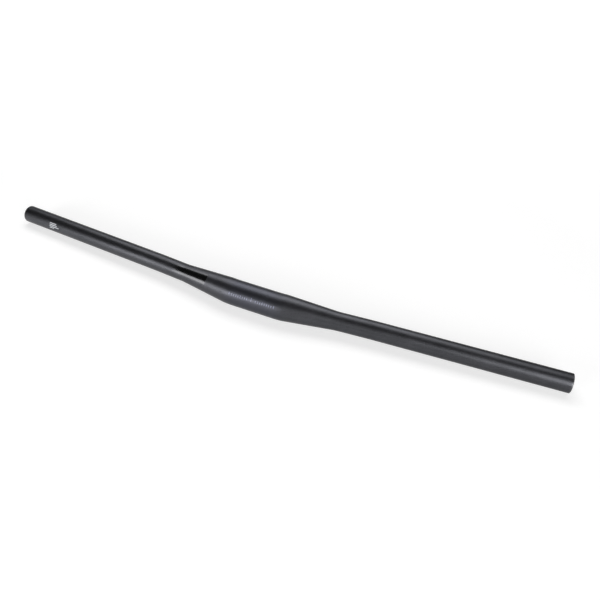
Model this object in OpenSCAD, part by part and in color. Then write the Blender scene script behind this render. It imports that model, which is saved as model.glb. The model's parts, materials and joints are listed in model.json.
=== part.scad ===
// Flat bicycle handlebar: one aluminium tube, swaged to a slim diameter on both sides of
// the clamp zone, bent twice on each side, and butted, so that its wall is thick where it
// is clamped, thin along the arms and thick again at the open ends.
// It lies as it rests on a table: the fat middle and both ends touch the surface, so the
// arms slope down a little. The origin is the middle of the clamp zone, +X runs along the
// clamp axis, +Y points back towards the rider and +Z is up.

/* [Overall] */
// Width over both ends, along the clamp axis
bar_width = 720; // [640:5:800]
// Outside diameter of the clamp zone
clamp_dia = 31.8; // [30:0.1:35]
// Outside diameter of the arms and grips
grip_dia = 22.2; // [21:0.1:24]

/* [Stations along one arm] */
// Half the length of the straight clamp zone
clamp_half = 25; // [20:0.5:32]
// Length of the short straight stretch between the first bend and the taper
shoulder_len = 1; // [0.5:0.5:5]
// Length of the taper from the fat tube to the slim one
taper_len = 63; // [50:1:85]
// Length of the straight slim tube between the taper and the second bend
inner_arm_len = 32; // [20:1:50]

/* [Bends] */
// Angle between a grip and the clamp axis
backsweep = 5; // [3:0.5:9]
// Angle by which the second bend turns the grips outwards again
second_bend = 1.5; // [0.5:0.1:4]
// Centre line radius of the first bend, beside the clamp zone
first_bend_radius = 80; // [60:5:140]
// Centre line radius of the second bend, out on the arm
second_bend_radius = 700; // [300:50:900]

/* [Wall] */
// Wall thickness in the clamp zone
clamp_wall = 2.3; // [1.8:0.1:3]
// Wall thickness along the arm
arm_wall = 1.7; // [1.4:0.1:2]
// Wall thickness at the open ends, where levers and grips clamp
end_wall = 2.1; // [2:0.1:3]
// Length of the thick wall at each open end
end_butt_len = 80; // [40:5:100]
// Length over which the wall thickens towards the end
butt_ramp_len = 40; // [20:5:60]

/* [Edges] */
// Radius of the blend where the taper meets the clamp zone
shoulder_blend = 40; // [20:5:100]
// Radius of the blend where the taper runs out into the arm
foot_blend = 100; // [20:5:150]
// Bevel round the outside of each cut end
rim_bevel = 0.35; // [0.1:0.05:0.6]
// Bevel round the mouth of each bore
bore_bevel = 0.5; // [0.1:0.05:0.8]

/* [Hidden] */
round_sides = 96;
sides_per_turn = 720;

clamp_r = clamp_dia / 2;
grip_r = grip_dia / 2;
clamp_bore_r = clamp_r - clamp_wall;
arm_bore_r = grip_r - arm_wall;
end_bore_r = grip_r - end_wall;

first_bend = backsweep + second_bend;

// Slope of the taper and how far each blend reaches along the axis from its corner
taper_angle = atan((clamp_r - grip_r) / taper_len);
shoulder_reach = shoulder_blend * tan(taper_angle / 2);
foot_reach = foot_blend * tan(taper_angle / 2);
blend_steps = 6;

// Each straight tube runs into the wall of the bend beside it as a blunt wedge, and the
// bend's wall is a hair thinner, so that the two always fuse into one solid
wedge = 0.2;
hair = 0.005;

// Where the straight grip begins, in the bar's own plane
bend_1 = bend_end(first_bend_radius, first_bend);
bend_2 = bend_end(second_bend_radius, second_bend);
taper_start = shoulder_len + shoulder_reach;
inner_run = taper_start + taper_len + inner_arm_len;
grip_start = [clamp_half + bend_1[0], bend_1[1]]
    + inner_run * heading(first_bend)
    + turned([bend_2[0], -bend_2[1]], first_bend);

// The grip ends where the outer edge of its cut face reaches the stated width
grip_len = (bar_width / 2 - grip_r * sin(backsweep) - grip_start[0]) / cos(backsweep);
end_set_back = grip_start[1] + grip_len * sin(backsweep);

// Lying down, the bar rests on its two shoulders and its two slim ends, which drop by the
// difference of the radii
shoulder_set_back = bend_1[1] + shoulder_len * sin(first_bend);
rest_tilt = asin((clamp_r - grip_r) / (end_set_back - shoulder_set_back));

function heading(a) = [cos(a), sin(a)];
function turned(p, a) = [p[0] * cos(a) - p[1] * sin(a), p[0] * sin(a) + p[1] * cos(a)];
function bend_end(radius, a) = [radius * sin(a), radius * (1 - cos(a))];

// Outer profile of the taper as [radius, distance]: an arc into the slope, an arc out of it
function shoulder_arc() = [
    for (i = [0 : blend_steps])
        let (a = taper_angle * i / blend_steps)
        [clamp_r - shoulder_blend * (1 - cos(a)), shoulder_len + shoulder_blend * sin(a)]
];
function foot_arc(end) = [
    for (i = [0 : blend_steps])
        let (a = taper_angle * (1 - i / blend_steps))
        [grip_r + foot_blend * (1 - cos(a)), end - foot_blend * sin(a)]
];

// The cross section of a tube
module ring(outer, inner) {
    difference() {
        circle(outer, $fn = round_sides);
        circle(inner, $fn = round_sides);
    }
}

// A bent tube that starts at the origin along +X and turns towards +Y
module bent_tube(radius, angle, outer, inner) {
    translate([0, radius, 0])
        rotate([0, 0, -90])
            rotate_extrude(angle = angle, $fn = sides_per_turn)
                translate([radius, 0])
                    rotate(90)
                        ring(outer - hair, inner + hair);
}

// A profile of [radius, distance] points turned about the +X axis
module turned_tube(points) {
    rotate([0, 90, 0])
        rotate_extrude($fn = round_sides)
            polygon(points);
}

// Moves what follows to the end of a bend
module past_bend(radius, angle) {
    translate([radius * sin(angle), radius * (1 - cos(angle)), 0])
        rotate([0, 0, angle])
            children();
}

// The straight fat tube in the middle, which the stem clamps
module clamp_zone() {
    tip = clamp_half + wedge;
    turned_tube([
        [clamp_r - wedge, -tip],
        [clamp_r, -clamp_half],
        [clamp_r, clamp_half],
        [clamp_r - wedge, tip],
        [clamp_bore_r + wedge, tip],
        [clamp_bore_r, clamp_half],
        [clamp_bore_r, -clamp_half],
        [clamp_bore_r + wedge, -tip]
    ]);
}

// The swaged taper and the slim tube that runs from it to the second bend
module taper() {
    foot = taper_start + taper_len + foot_reach;
    start = [[clamp_bore_r + wedge, -wedge], [clamp_r - wedge, -wedge], [clamp_r, 0]];
    end = [
        [grip_r, inner_run],
        [grip_r - wedge, inner_run + wedge],
        [arm_bore_r + wedge, inner_run + wedge],
        [arm_bore_r, inner_run]
    ];
    inside = [[arm_bore_r, foot], [clamp_bore_r, shoulder_len], [clamp_bore_r, 0]];
    turned_tube(concat(start, shoulder_arc(), foot_arc(foot), end, inside));
}

// The grip: its bore narrows to the thick wall at the end, and both rims are bevelled
module grip() {
    butt = grip_len - end_butt_len;
    turned_tube([
        [grip_r - wedge, -wedge],
        [grip_r, 0],
        [grip_r, grip_len - rim_bevel],
        [grip_r - rim_bevel, grip_len],
        [end_bore_r + bore_bevel, grip_len],
        [end_bore_r, grip_len - bore_bevel],
        [end_bore_r, butt],
        [arm_bore_r, butt - butt_ramp_len],
        [arm_bore_r, 0],
        [arm_bore_r + wedge, -wedge]
    ]);
}

// One side of the bar, from the end of the clamp zone out to the open end
module arm() {
    translate([clamp_half, 0, 0]) {
        bent_tube(first_bend_radius, first_bend, clamp_r, clamp_bore_r);
        past_bend(first_bend_radius, first_bend) {
            taper();
            translate([inner_run, 0, 0])
                mirror([0, 1, 0]) {
                    bent_tube(second_bend_radius, second_bend, grip_r, arm_bore_r);
                    past_bend(second_bend_radius, second_bend)
                        grip();
                }
        }
    }
}

module handlebar() {
    color([0.06, 0.06, 0.065])
        rotate([-rest_tilt, 0, 0])
            union() {
                clamp_zone();
                arm();
                mirror([1, 0, 0]) arm();
            }
}

handlebar();
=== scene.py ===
import json
import math

import bpy
from mathutils import Matrix, Vector


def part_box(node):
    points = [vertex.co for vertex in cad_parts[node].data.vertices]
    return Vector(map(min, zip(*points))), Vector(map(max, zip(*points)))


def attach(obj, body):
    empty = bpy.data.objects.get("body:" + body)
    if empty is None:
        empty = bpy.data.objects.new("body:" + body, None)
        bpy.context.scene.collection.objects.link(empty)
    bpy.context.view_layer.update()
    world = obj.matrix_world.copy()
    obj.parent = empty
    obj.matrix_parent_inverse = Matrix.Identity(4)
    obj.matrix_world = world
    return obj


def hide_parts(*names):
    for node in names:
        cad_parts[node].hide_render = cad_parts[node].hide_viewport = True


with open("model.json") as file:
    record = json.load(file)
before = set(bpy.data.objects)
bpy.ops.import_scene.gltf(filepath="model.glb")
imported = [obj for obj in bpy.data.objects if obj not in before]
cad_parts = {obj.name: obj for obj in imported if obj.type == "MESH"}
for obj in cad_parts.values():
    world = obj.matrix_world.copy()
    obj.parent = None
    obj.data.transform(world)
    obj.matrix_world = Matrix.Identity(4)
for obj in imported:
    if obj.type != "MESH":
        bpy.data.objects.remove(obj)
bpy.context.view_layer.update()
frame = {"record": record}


# The handlebar is one drawn aluminium tube. It is swaged slim on both sides of the clamp
# zone, bent twice on each side and butted inside, then shot-blasted and anodised satin
# black all over, its cut ends and its bore included.

mounts = {m["name"]: m for m in frame["record"]["mounts"]}
clamp_radius = mounts["stem_clamp"]["dims"]["r_mm"] / 1000
grip_radius = mounts["grip_left"]["dims"]["r_mm"] / 1000
end_bore_radius = mounts["plug_bore_left"]["dims"]["r_mm"] / 1000
grip_axis = Vector(mounts["grip_left"]["axis"])

bar_width = 0.720
clamp_half = 0.025
shoulder_length = 0.001
taper_length = 0.063
inner_arm_length = 0.032
shoulder_blend = 0.040
foot_blend = 0.100
clamp_wall = 0.0023
arm_wall = 0.0017
end_butt_length = 0.080
butt_ramp_length = 0.040
rim_bevel = 0.00035
bore_bevel = 0.0005
# The skin lies a hair inside the true radius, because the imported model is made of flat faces
skin_inset = 0.00002

backsweep = math.acos(grip_axis.x)
rest_tilt = math.atan2(-grip_axis.z, grip_axis.y)
second_turn = math.radians(1.5)
first_turn = backsweep + second_turn
first_bend_radius = 0.080
second_bend_radius = 0.700

clamp_bore_radius = clamp_radius - clamp_wall
arm_bore_radius = grip_radius - arm_wall
taper_angle = math.atan((clamp_radius - grip_radius) / taper_length)
shoulder_reach = shoulder_blend * math.tan(taper_angle / 2)
foot_reach = foot_blend * math.tan(taper_angle / 2)
inner_run = shoulder_length + shoulder_reach + taper_length + inner_arm_length

# Each stretch of the centre line on one side of the middle: its length and how far it turns.
# After them the grip runs straight on, here for longer than any bar needs.
stretches = [
    (clamp_half, 0.0),
    (first_bend_radius * first_turn, first_turn),
    (inner_run, 0.0),
    (second_bend_radius * second_turn, -second_turn),
]
straight_on = (1.0, 0.0)


def on_centre_line(distance):
    """Where the centre line is in the bar's own plane, and where it heads, this far out."""
    x = y = heading = 0.0
    for length, turn in stretches + [straight_on]:
        step = min(distance, length)
        if turn:
            radius = length / turn
            after = heading + step / radius
            x += radius * (math.sin(after) - math.sin(heading))
            y += radius * (math.cos(heading) - math.cos(after))
            heading = after
        else:
            x += step * math.cos(heading)
            y += step * math.sin(heading)
        distance -= step
        if distance <= 0:
            break
    return x, y, heading


grip_start = sum(length for length, turn in stretches)
grip_start_x = on_centre_line(grip_start)[0]
grip_end_x = bar_width / 2 - grip_radius * math.sin(backsweep)
grip_length = (grip_end_x - grip_start_x) / math.cos(backsweep)
bar_end = grip_start + grip_length
first_bend_end = clamp_half + first_bend_radius * first_turn
second_bend_start = grip_start - second_bend_radius * second_turn
shoulder_at = first_bend_end + shoulder_length + shoulder_reach
foot_at = shoulder_at + taper_length

tilt_sin, tilt_cos = math.sin(rest_tilt), math.cos(rest_tilt)
bar_up = Vector((0, tilt_sin, tilt_cos))


def section_at(station):
    """The middle of the tube's section and the direction across it, towards the rider. A
    station is a distance along the bar, below 0 on its right side."""
    side = 1 if station >= 0 else -1
    x, y, heading = on_centre_line(abs(station))
    across = math.cos(heading)
    middle = Vector((side * x, y * tilt_cos, -y * tilt_sin))
    return middle, Vector((-side * math.sin(heading), across * tilt_cos, -across * tilt_sin))


def on_skin(station, angle, radius):
    """A point on the tube. Angle 0 faces the rider, and a quarter turn faces up."""
    middle, across = section_at(station)
    return middle + radius * (math.cos(angle) * across + math.sin(angle) * bar_up)


def true_radius(station):
    """The outside radius: an arc out of the clamp zone, a straight taper, an arc into the arm."""
    past_shoulder = abs(station) - (shoulder_at - shoulder_reach)
    before_foot = foot_at + foot_reach - abs(station)
    if past_shoulder <= 0:
        return clamp_radius
    if before_foot <= 0:
        return grip_radius
    if past_shoulder < shoulder_blend * math.sin(taper_angle):
        return clamp_radius - shoulder_blend + math.sqrt(shoulder_blend ** 2 - past_shoulder ** 2)
    if before_foot < foot_blend * math.sin(taper_angle):
        return grip_radius + foot_blend - math.sqrt(foot_blend ** 2 - before_foot ** 2)
    return clamp_radius - (abs(station) - shoulder_at) * math.tan(taper_angle)


def outer_radius(station):
    """The radius of the skin."""
    return true_radius(station) - skin_inset


def spread(start, end, longest_step):
    """Evenly spaced stations from start towards end, without end itself."""
    count = max(1, math.ceil(abs(end - start) / longest_step))
    return [start + (end - start) * i / count for i in range(count)]


def rounded(corners, radius, steps):
    """The same open profile with each inner corner replaced by a small arc."""
    out = [corners[0]]
    for before, corner, after in zip(corners, corners[1:], corners[2:]):
        a, b, c = Vector(before), Vector(corner), Vector(after)
        start = b + (a - b).normalized() * radius
        end = b + (c - b).normalized() * radius
        for i in range(steps + 1):
            t = i / steps
            point = start * (1 - t) ** 2 + b * 2 * t * (1 - t) + end * t * t
            out.append((point.x, point.y))
    return out + [corners[-1]]


# One half of the wall's outline as (station, radius), from the middle out along the skin,
# round the cut end and back in along the bore. The rings of points stand close together
# where the skin bends or curves: each line has the end of a stretch and its longest step.
near_end = bar_end - 0.002
skin_steps = [
    (clamp_half, 0.004),
    (first_bend_end, 0.0009),
    (shoulder_at + shoulder_reach * 2, 0.0007),
    (foot_at - foot_reach * 2, 0.003),
    (foot_at + foot_reach, 0.001),
    (second_bend_start, 0.004),
    (grip_start, 0.0015),
    (near_end, 0.005),
]
skin_stations, start = [], 0
for end, longest_step in skin_steps:
    skin_stations += spread(start, end, longest_step)
    start = end

skin_radius = grip_radius - skin_inset
rim_edge = (bar_end, skin_radius - rim_bevel)
mouth_edge = (bar_end, end_bore_radius + bore_bevel)
rim_corners = [
    (bar_end - rim_bevel, skin_radius),
    rim_edge,
    mouth_edge,
    (bar_end - bore_bevel, end_bore_radius),
]
edge_rounding, rounding_steps = 0.00008, 3
cut_end = rounded(
    [(near_end, skin_radius)] + rim_corners + [(near_end, end_bore_radius)],
    edge_rounding, rounding_steps,
)

# Three more rings on the flat face of the cut, between its two bevels
face_rings = [
    (bar_end, rim_edge[1] + (mouth_edge[1] - rim_edge[1]) * t) for t in (0.25, 0.5, 0.75)
]
past_rim = next(i for i, (s, radius) in enumerate(cut_end) if radius < face_rings[1][1])
cut_end[past_rim:past_rim] = face_rings

butt_start = bar_end - end_butt_length
bore_foot = (foot_at + foot_reach, arm_bore_radius)
bore_middle = (0, clamp_bore_radius)
bore_corners = [
    (near_end, end_bore_radius),
    (butt_start, end_bore_radius),
    (butt_start - butt_ramp_length, arm_bore_radius),
    bore_foot,
    (first_bend_end + shoulder_length, clamp_bore_radius),
    bore_middle,
]
arm_bore_step, middle_bore_step = 0.008, 0.003
bore_outline = []
for (s0, r0), (s1, r1) in zip(bore_corners, bore_corners[1:]):
    longest_step = arm_bore_step if s0 > bore_foot[0] else middle_bore_step
    for s in spread(s0, s1, longest_step):
        bore_outline.append((s, r0 + (r1 - r0) * (s - s0) / (s1 - s0)))
half_skin = [(s, outer_radius(s)) for s in skin_stations] + cut_end[:-1]


def mirrored(profile):
    """The same profile on the right side of the bar, from its other end."""
    return [(-s, r) for s, r in reversed(profile)]


# The whole outline runs out on the left side of the bar, back in, and likewise on the right.
# Each of its four runs has its own strip of the surface map: the skin and the bore on
# either side. The map shows the surface at its real size.
outline = half_skin + bore_outline + [bore_middle] + mirrored(bore_outline)
outline += mirrored(half_skin[1:])
run_lengths = [len(half_skin), len(bore_outline), len(bore_outline) + 1, len(half_skin) - 1]
bore_runs = (1, 2)
ring_sides = 144
map_size = 0.380
strip_gap = 0.0015
skin_height, bore_height = math.tau * clamp_radius, math.tau * clamp_bore_radius
strip_heights = [skin_height, bore_height, bore_height, skin_height]


def add_object(name, data):
    """An object in the scene, made of a mesh, a lamp's data or a camera's."""
    thing = bpy.data.objects.new(name, data)
    bpy.context.scene.collection.objects.link(thing)
    return thing


def turned_skin(name, profile, runs, sides):
    """A closed tube through one ring of points for each (station, radius) of the profile."""
    points = []
    for station, radius in profile:
        points += [on_skin(station, math.tau * i / sides, radius) for i in range(sides)]
    faces, face_map, face_runs = [], [], []
    ring, strip_base = 0, strip_gap
    for run, (rings_in_run, height) in enumerate(zip(runs, strip_heights)):
        along = strip_gap
        for _ in range(rings_in_run):
            after = (ring + 1) % len(profile)
            far = along + math.dist(profile[ring], profile[after])
            this, that = ring * sides, after * sides
            for i in range(sides):
                j = (i + 1) % sides
                faces.append((this + i, this + j, that + j, that + i))
                low, high = (strip_base + height * k / sides for k in (i, i + 1))
                face_map += [(along, low), (along, high), (far, high), (far, low)]
            face_runs += [run] * sides
            along = far
            ring += 1
        strip_base += height + strip_gap
    mesh = bpy.data.meshes.new(name)
    mesh.from_pydata(points, [], faces)
    surface_map = mesh.uv_layers.new(name="OFBake")
    surface_map.data.foreach_set("uv", [c / map_size for corner in face_map for c in corner])
    mesh.shade_smooth()
    return add_object(name, mesh), face_runs


bar_tube, face_runs = turned_skin("bar_tube", outline, run_lengths, ring_sides)

# How close each point is to a corner of the cut end, where handling rubs the black thin
rubbed_width = 0.0005
rubbed = bar_tube.data.attributes.new("rubbed", "FLOAT", "POINT")
rubbed_values = []
for station, radius in outline:
    nearest = min(math.dist((abs(station), radius), corner) for corner in rim_corners)
    rubbed_values += [max(0.0, 1.0 - nearest / rubbed_width)] * ring_sides
rubbed.data.foreach_set("value", rubbed_values)


def shader_group(name, inputs, outputs):
    """An empty group of shader nodes with named number, colour or vector sockets."""
    group = bpy.data.node_groups.new(name, "ShaderNodeTree")
    for direction, sockets in (("INPUT", inputs), ("OUTPUT", outputs)):
        for label, kind in sockets:
            group.interface.new_socket(label, in_out=direction, socket_type=f"NodeSocket{kind}")
    return group, group.nodes.new("NodeGroupInput"), group.nodes.new("NodeGroupOutput")


def add_node(tree, kind, settings=None, **values):
    """A shader node with its settings, and a value or a link for each input that is given. An
    input goes by its name, or by its number as i0, i1 and so on."""
    node = tree.nodes.new(f"ShaderNode{kind}")
    for key, value in (settings or {}).items():
        setattr(node, key, value)
    for label, value in values.items():
        numbered = label[0] == "i" and label[1:].isdigit()
        socket = node.inputs[int(label[1:]) if numbered else label.replace("_", " ")]
        if isinstance(value, bpy.types.NodeSocket):
            tree.links.new(value, socket)
        else:
            socket.default_value = value
    return node


def remap(tree, value, low, high, from_low=0.3, from_high=0.7):
    """A value spread over a new range. Noise lies mostly between 0.3 and 0.7."""
    return add_node(
        tree, "MapRange", Value=value,
        From_Min=from_low, From_Max=from_high, To_Min=low, To_Max=high,
    ).outputs["Result"]


def total(tree, *values):
    """The sum of several values."""
    result = values[0]
    for value in values[1:]:
        result = add_node(tree, "Math", {"operation": "ADD"}, i0=result, i1=value).outputs[0]
    return result


def product(tree, first, second):
    """Two values multiplied."""
    return add_node(tree, "Math", {"operation": "MULTIPLY"}, i0=first, i1=second).outputs[0]


def blend(tree, factor, first, second):
    """A colour between two others."""
    mix = add_node(tree, "Mix", {"data_type": "RGBA"}, Factor=factor)
    for socket, value in ((mix.inputs[6], first), (mix.inputs[7], second)):
        if isinstance(value, bpy.types.NodeSocket):
            tree.links.new(value, socket)
        else:
            socket.default_value = (*value, 1)
    return mix.outputs[2]


def bump(tree, height, strength, depth, **normal):
    """A normal that follows a height, for a surface whose relief is this deep."""
    node = add_node(tree, "Bump", Strength=strength, Distance=depth, Height=height, **normal)
    return node.outputs["Normal"]


# Blasting leaves an even grain of small pits, with faint patches where the blast or the
# dye took a little more or less
blasted_grain, grain_in, grain_out = shader_group(
    "blasted_grain",
    [("Place", "Vector"), ("Grain size", "Float"), ("Patch size", "Float")],
    [("Grain", "Float"), ("Patches", "Float")],
)
for size, detail, output in (("Grain size", 2.0, "Grain"), ("Patch size", 3.0, "Patches")):
    density = add_node(
        blasted_grain, "Math", {"operation": "DIVIDE"}, i0=1.0, i1=grain_in.outputs[size]
    )
    noise = add_node(
        blasted_grain, "TexNoise", Vector=grain_in.outputs["Place"], Scale=density.outputs[0],
        Detail=detail, Roughness=0.6,
    )
    blasted_grain.links.new(noise.outputs["Fac"], grain_out.inputs[output])


def grain_at(tree, place, grain_size, patch_size):
    """The grain and the patches of a blasted surface, at these sizes in metres."""
    node = add_node(
        tree, "Group", {"node_tree": blasted_grain},
        Place=place, Grain_size=grain_size, Patch_size=patch_size,
    )
    return node.outputs["Grain"], node.outputs["Patches"]


# The satin black that the blasted tube takes in the dye bath: fine pits on a wider mottle,
# both a little paler where the dye is thin
satin_finish, finish_in, finish_out = shader_group(
    "satin_black_finish",
    [("Place", "Vector")],
    [("Colour", "Color"), ("Roughness", "Float"), ("Normal", "Vector"), ("Pits", "Float")],
)
deep_black, thin_black = (0.0585, 0.0595, 0.0655), (0.0865, 0.0875, 0.0960)
patch_share, mottle_share = 0.45, 0.55
satin_roughness, grain_roughness = (0.39, 0.44), (-0.02, 0.02)
relief, pit_depth, mottle_depth = 0.3, 0.00003, 0.00012
finish_place = finish_in.outputs["Place"]
pits, pit_patches = grain_at(satin_finish, finish_place, grain_size=0.0004, patch_size=0.022)
mottle, mottle_patches = grain_at(
    satin_finish, finish_place, grain_size=0.0016, patch_size=0.009
)
thinness = total(
    satin_finish,
    remap(satin_finish, pit_patches, 0.0, patch_share),
    remap(satin_finish, mottle, 0.0, mottle_share),
)
finish_roughness = total(
    satin_finish,
    remap(satin_finish, mottle_patches, *satin_roughness),
    remap(satin_finish, mottle, *grain_roughness),
    remap(satin_finish, pits, *grain_roughness),
)
mottled = bump(satin_finish, mottle, relief, mottle_depth)
for value, output in (
    (blend(satin_finish, thinness, deep_black, thin_black), "Colour"),
    (finish_roughness, "Roughness"),
    (bump(satin_finish, pits, relief, pit_depth, Normal=mottled), "Normal"),
    (pits, "Pits"),
):
    satin_finish.links.new(value, finish_out.inputs[output])


def emptied_tree(owner):
    """The shader nodes of a new material or world, without the ones it comes with."""
    owner.use_nodes = True
    owner.node_tree.nodes.clear()
    return owner.node_tree


def new_material(name):
    """A material with only a Principled shader and its output, and where the surface is."""
    material = bpy.data.materials.new(name)
    tree = emptied_tree(material)
    shader = add_node(tree, "BsdfPrincipled")
    add_node(tree, "OutputMaterial", Surface=shader.outputs[0])
    return material, tree, shader, add_node(tree, "TexCoord").outputs["Object"]


def link_surface(tree, shader, colour, roughness, normal, metallic=0.0):
    """Gives a shader the colour, roughness and normal of its surface."""
    tree.links.new(colour, shader.inputs["Base Color"])
    tree.links.new(roughness, shader.inputs["Roughness"])
    tree.links.new(normal, shader.inputs["Normal"])
    shader.inputs["Metallic"].default_value = metallic


satin_black, tree, shader, place = new_material("satin_black_anodised")
satin = add_node(tree, "Group", {"node_tree": satin_finish}, Place=place).outputs

# The middle of the bar, round the clamp zone, is tinted a little bluer than the arms
clamp_black, clamp_share = (0.0700, 0.0720, 0.0890), 0.6
bluest_to, bluer_to = 0.018, 0.048
along_bar = add_node(tree, "SeparateXYZ", Vector=place)
off_middle = add_node(tree, "Math", {"operation": "ABSOLUTE"}, i0=along_bar.outputs["X"])
clamp_tint = add_node(
    tree, "MapRange", {"interpolation_type": "SMOOTHSTEP"}, Value=off_middle.outputs[0],
    From_Min=bluest_to, From_Max=bluer_to, To_Min=clamp_share, To_Max=0.0,
).outputs["Result"]
colour = blend(tree, clamp_tint, satin["Colour"], clamp_black)

# Where the corners of the cut ends are rubbed, the black is paler and smoother, less so in
# the pits
rubbed_black, rubbed_smoother = (0.17, 0.17, 0.175), -0.09
rubbed_in_pits, rubbed_between = 0.25, 0.95
near_corner = add_node(tree, "Attribute", {"attribute_name": "rubbed"}).outputs["Fac"]
rubbed_thin = product(
    tree, near_corner, remap(tree, satin["Pits"], rubbed_in_pits, rubbed_between)
)
link_surface(
    tree, shader,
    blend(tree, rubbed_thin, colour, rubbed_black),
    total(tree, satin["Roughness"], remap(tree, rubbed_thin, 0.0, rubbed_smoother, 0.0, 1.0)),
    satin["Normal"],
    metallic=1.0,
)

# Nothing blasts the bore, so it keeps the fine lengthwise lines of the drawn tube: this many
# of them along the surface map and across it
lines_along, lines_across, line_depth = 14, 900, 0.00005
bore_deep, bore_pale = (0.040, 0.0405, 0.043), (0.062, 0.063, 0.067)
line_roughness, stain_roughness = (0.32, 0.46), (-0.03, 0.03)
bore_black, tree, shader, place = new_material("drawn_bore_black")
surface = add_node(tree, "UVMap", {"uv_map": "OFBake"})
lengthwise = add_node(
    tree, "Mapping", Vector=surface.outputs["UV"], Scale=(lines_along, lines_across, 1)
)
lines = add_node(
    tree, "TexNoise", Vector=lengthwise.outputs["Vector"], Scale=1.0, Detail=3.0, Roughness=0.6
).outputs["Fac"]
stains, stain_patches = grain_at(tree, place, grain_size=0.0012, patch_size=0.012)
link_surface(
    tree, shader,
    blend(tree, remap(tree, stain_patches, 0.0, 1.0), bore_deep, bore_pale),
    total(tree, remap(tree, lines, *line_roughness), remap(tree, stains, *stain_roughness)),
    bump(tree, lines, 0.5, line_depth),
    metallic=1.0,
)

bar_tube.data.materials.append(satin_black)
bar_tube.data.materials.append(bore_black)
bar_tube.data.polygons.foreach_set("material_index", [int(run in bore_runs) for run in face_runs])
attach(bar_tube, "root")
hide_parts("handlebar")


# Four short stripes of white ink on the front of the grip, near the open end on the right.
# They are pad-printed: a film that dries hard on the satin black, a little thinner in places.

# The ink stands this far off the skin, and reaches as far into it
ink_rise = 0.00002
corner_steps = 5
crease_angle = math.radians(40)


def printed_film(name, fields, corner, longest_column, longest_row):
    """Closed films of ink on the skin with rounded corners, one for each field. A field has
    its first and last station, and its first and last angle in degrees."""
    turns = [math.pi / 2 * k / corner_steps for k in range(corner_steps + 1)]
    insets = [corner * (1 - math.cos(turn)) for turn in turns]
    points, faces = [], []
    for start, end, low, high in fields:
        middle_radius = outer_radius((start + end) / 2)
        half_height = math.radians(high - low) / 2 * middle_radius
        centre = math.radians(high + low) / 2
        columns = [start + inset for inset in insets]
        columns += spread(start + corner, end - corner, longest_column)[1:]
        columns += [end - inset for inset in reversed(insets)]
        row_count = math.ceil(2 * half_height / longest_row)
        base = len(points)
        for rise in (ink_rise, -ink_rise):
            for s in columns:
                into_corner = corner - min(s - start, end - s, corner)
                arc = math.sqrt(max(corner ** 2 - into_corner ** 2, 0))
                reach = (half_height - corner + arc) / middle_radius
                for k in range(row_count + 1):
                    angle = centre + reach * (2 * k / row_count - 1)
                    points.append(on_skin(s, angle, outer_radius(s) + rise))
        # The outer face and the one under it, then the edge walls between them
        rows, under = row_count + 1, len(columns) * (row_count + 1)
        for c in range(len(columns) - 1):
            a, b = base + c * rows, base + (c + 1) * rows
            for k in range(row_count):
                faces.append((a + k, a + k + 1, b + k + 1, b + k))
                faces.append((a + k + under, b + k + under, b + k + 1 + under, a + k + 1 + under))
            for p, q in ((a, b), (b + row_count, a + row_count)):
                faces.append((p, q, q + under, p + under))
        last = base + (len(columns) - 1) * rows
        end_edges = [(base + k + 1, base + k) for k in range(row_count)]
        end_edges += [(last + k, last + k + 1) for k in range(row_count)]
        faces += [(p, q, q + under, p + under) for p, q in end_edges]
    mesh = bpy.data.meshes.new(name)
    mesh.from_pydata(points, [], faces)
    mesh.shade_smooth()
    mesh.set_sharp_from_angle(angle=crease_angle)
    return add_object(name, mesh)


def printed_ink(name, thick, thin, roughness):
    """A thin ink, a little darker where the black shows through it."""
    grain_share, patch_share, unevenness = 0.6, 0.4, 0.06
    ink, tree, shader, place = new_material(name)
    cover, cover_patches = grain_at(tree, place, grain_size=0.0005, patch_size=0.005)
    thinness = total(
        tree, remap(tree, cover, 0.0, grain_share), remap(tree, cover_patches, 0.0, patch_share)
    )
    link_surface(
        tree, shader,
        blend(tree, thinness, thick, thin),
        remap(tree, cover, roughness - unevenness, roughness + unevenness),
        bump(tree, cover, 0.25, depth=0.00001),
    )
    return ink


stripe_pitch, stripe_height = 0.00225, 0.0011
stripes_start = -0.3145
stripes_angle = 172.5
stripe_lengths = (0.011, 0.0125, 0.016, 0.0075)
half_stripe = math.degrees(stripe_height / 2 / grip_radius)
stripe_fields = []
for k, length in enumerate(stripe_lengths):
    off_centre = (k - (len(stripe_lengths) - 1) / 2) * stripe_pitch
    angle = stripes_angle + math.degrees(off_centre / grip_radius)
    stripe_fields.append(
        (stripes_start, stripes_start + length, angle - half_stripe, angle + half_stripe)
    )
end_stripes = printed_film(
    "end_stripes", stripe_fields, corner=0.0003, longest_column=0.001, longest_row=0.0004
)
white_ink = printed_ink(
    "white_ink", thick=(0.64, 0.66, 0.69), thin=(0.50, 0.52, 0.55), roughness=0.5
)
end_stripes.data.materials.append(white_ink)
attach(end_stripes, "root")


# A plain patch of gloss black ink on the taper of the right arm, printed over the satin
# black. It is crisp on the side of the clamp zone and fades out on the side of the grip.

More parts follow.
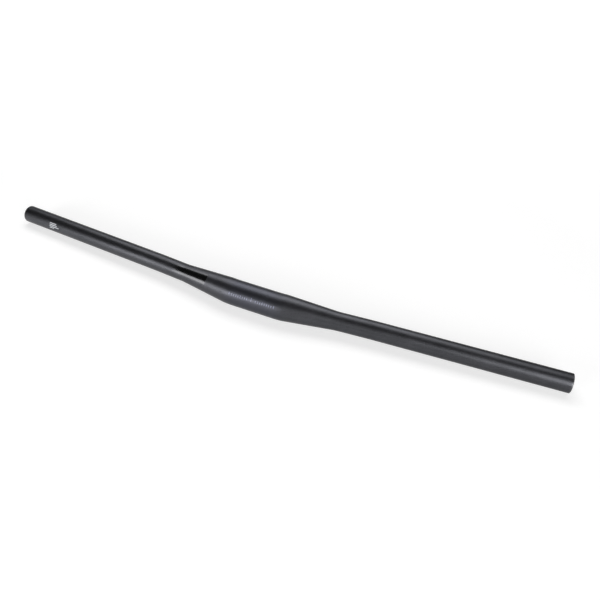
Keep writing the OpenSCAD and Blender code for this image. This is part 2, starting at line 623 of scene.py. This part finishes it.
gloss_start, gloss_end = -0.121, -0.063
gloss_low, gloss_high = 112, 169
fade_from, fade_to = gloss_start + 0.001, gloss_start + 0.022
gloss_colour, gloss_roughness = (0.076, 0.0765, 0.080), (0.17, 0.21)
gloss_patch = printed_film(
    "gloss_patch", [(gloss_start, gloss_end, gloss_low, gloss_high)],
    corner=0.0025, longest_column=0.001, longest_row=0.0005,
)
gloss_black, tree, shader, place = new_material("gloss_black_ink")
satin = add_node(tree, "Group", {"node_tree": satin_finish}, Place=place).outputs
along_bar = add_node(tree, "SeparateXYZ", Vector=place)
cover = add_node(
    tree, "MapRange", {"interpolation_type": "SMOOTHSTEP"}, Value=along_bar.outputs["X"],
    From_Min=fade_from, From_Max=fade_to,
).outputs["Result"]
smooth = add_node(tree, "Mix", Factor=cover)
tree.links.new(satin["Roughness"], smooth.inputs[2])
tree.links.new(remap(tree, satin["Pits"], *gloss_roughness), smooth.inputs[3])
link_surface(
    tree, shader,
    blend(tree, cover, satin["Colour"], gloss_colour),
    smooth.outputs[0],
    satin["Normal"],
    metallic=1.0,
)
gloss_patch.data.materials.append(gloss_black)
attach(gloss_patch, "root")


# Fine centring ticks along the front of the clamp zone, in thin bluish white ink, so that
# the bar can be set in the middle of its stem: a long one in the middle, and on each side a
# short scale that begins a little way off it.

tick_pitch, tick_width = 0.0028, 0.0006
first_tick, last_tick, long_every = 2, 10, 5
ticks_base, middle_tick_top, long_tick_top, short_tick_top = 165, 149, 153, 156
tick_fields = []
for k in range(-last_tick, last_tick + 1):
    if 0 < abs(k) < first_tick:
        continue
    top = middle_tick_top if k == 0 else short_tick_top if k % long_every else long_tick_top
    at = k * tick_pitch
    tick_fields.append((at - tick_width / 2, at + tick_width / 2, top, ticks_base))
centring_ticks = printed_film(
    "centring_ticks", tick_fields, corner=0.0001, longest_column=0.0004, longest_row=0.0005
)
bluish_ink = printed_ink(
    "bluish_ink", thick=(0.22, 0.24, 0.34), thin=(0.15, 0.165, 0.24), roughness=0.42
)
centring_ticks.data.materials.append(bluish_ink)
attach(centring_ticks, "root")


# The floor is a plain matt white table top, wide enough for every view. The bar lies loose
# on it, on its two shoulders and its two ends.

floor_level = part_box("handlebar")[0].z
floor_half = 6.0
floor_corners = ((-1, -1), (1, -1), (1, 1), (-1, 1))
floor_mesh = bpy.data.meshes.new("floor")
floor_mesh.from_pydata(
    [(x * floor_half, y * floor_half, floor_level) for x, y in floor_corners],
    [], [(0, 1, 2, 3)],
)
floor = add_object("floor", floor_mesh)

# The floor glows as well. The camera sees it grow white further out, and the bar mirrors a
# painted glow on it that is brighter towards the bar's right end than towards its left.
floor_paint = 0.52
white_near, white_far, near, far = 0.57, 1.0, 0.5, 2.0
reflected_glow_right, reflected_glow_left, half_span = 0.66, 0.37, 0.4
floor_white = bpy.data.materials.new("floor_white")
tree = emptied_tree(floor_white)
seen = add_node(tree, "LightPath")
where = add_node(tree, "TexCoord").outputs["Object"]
from_middle = add_node(tree, "VectorMath", {"operation": "LENGTH"}, i0=where)
across_floor = add_node(tree, "SeparateXYZ", Vector=where)
for_camera = product(
    tree, seen.outputs["Is Camera Ray"],
    remap(tree, from_middle.outputs["Value"], white_near, white_far, near, far),
)
# Painted glow that only the bar's reflections see, stronger towards its right end
for_reflections = product(
    tree, total(tree, seen.outputs["Is Glossy Ray"], seen.outputs["Is Transmission Ray"]),
    remap(tree, across_floor.outputs["X"], reflected_glow_right, reflected_glow_left, -half_span, half_span),
)
paint = add_node(tree, "BsdfDiffuse", Color=(floor_paint, floor_paint, floor_paint, 1))
glow = add_node(
    tree, "Emission", Color=(1, 1, 1, 1), Strength=total(tree, for_camera, for_reflections)
)
both = add_node(tree, "AddShader", i0=paint.outputs[0], i1=glow.outputs[0])
add_node(tree, "OutputMaterial", Surface=both.outputs[0])
floor_mesh.materials.append(floor_white)


# Studio light: two large softboxes over and behind the bar, three smaller ones in front of
# it, and a dark room, which the camera sees as plain white. The lamps' left and right are
# as the camera sees them.

def softbox(name, azimuth, elevation, distance, width, height, radiance):
    """An area lamp that faces the middle of the bar, from azimuth 0 in front or 90 at +X."""
    a, e = math.radians(azimuth), math.radians(elevation)
    towards = Vector((math.sin(a) * math.cos(e), -math.cos(a) * math.cos(e), math.sin(e)))
    data = bpy.data.lights.new(name, "AREA")
    data.shape = "RECTANGLE"
    data.size, data.size_y = width, height
    data.energy = radiance * math.pi * width * height
    lamp = add_object(name, data)
    lamp.location = towards * distance
    lamp.rotation_mode = "QUATERNION"
    lamp.rotation_quaternion = towards.to_track_quat("Z", "Y")


softbox("overhead_softbox", 180, 62, 1.6, width=2.4, height=1.0, radiance=1.43)
softbox("rear_softbox", -150, 50, 1.6, width=1.6, height=0.9, radiance=1.98)
softbox("low_left_softbox", -38, 8, 0.75, width=0.45, height=0.32, radiance=5.0)
softbox("left_front_softbox", -20, 16, 1.6, width=0.5, height=0.4, radiance=8.8)
softbox("right_front_softbox", 45, 25, 1.6, width=1.0, height=0.95, radiance=5.2)

room_light, seen_white = 0.04, 1.0
world = bpy.data.worlds.new("studio")
bpy.context.scene.world = world
tree = emptied_tree(world)
seen = add_node(tree, "LightPath")
strength = add_node(
    tree, "MapRange", Value=seen.outputs["Is Camera Ray"], To_Min=room_light, To_Max=seen_white
)
room = add_node(tree, "Background", Color=(1, 1, 1, 1), Strength=strength.outputs["Result"])
add_node(tree, "OutputWorld", Surface=room.outputs[0])


# The camera stands in front of the bar, somewhat towards its left end, and looks down on it.
# It is held almost level, and its lens takes in the whole width.

camera_azimuth = math.radians(24.9606)
camera_elevation = math.radians(38.5706)
camera_roll = math.radians(1.6362)
camera_distance = 0.73832
focal_pixels = 624.14
image_pixels = 600
middle_pixel = (256.075, 299.023)

back = Vector((
    math.sin(camera_azimuth) * math.cos(camera_elevation),
    -math.cos(camera_azimuth) * math.cos(camera_elevation),
    math.sin(camera_elevation),
))
right = (-back).cross(Vector((0, 0, 1))).normalized()
up = right.cross(-back)
rolled_right = math.cos(camera_roll) * right + math.sin(camera_roll) * up
rolled_up = math.cos(camera_roll) * up - math.sin(camera_roll) * right

# The lens is turned a little, so that the bar's middle comes to its own pixel
half_image = image_pixels / 2
aim = Vector((
    (middle_pixel[0] - half_image) / focal_pixels,
    -(middle_pixel[1] - half_image) / focal_pixels,
    1,
))
turn = Vector((0, 0, 1)).rotation_difference(aim).to_matrix()
rows = turn @ Matrix((rolled_right, rolled_up, -back))
facing = Matrix((rows[0], rows[1], -rows[2])).transposed().to_4x4()

camera_data = bpy.data.cameras.new("camera")
camera_data.sensor_width = 36
camera_data.lens = focal_pixels / image_pixels * camera_data.sensor_width
camera_data.clip_start, camera_data.clip_end = 0.01, 100
camera = add_object("camera", camera_data)
camera.matrix_world = Matrix.Translation(back * camera_distance) @ facing
bpy.context.scene.camera = camera
bpy.context.scene.view_settings.view_transform = "Standard"
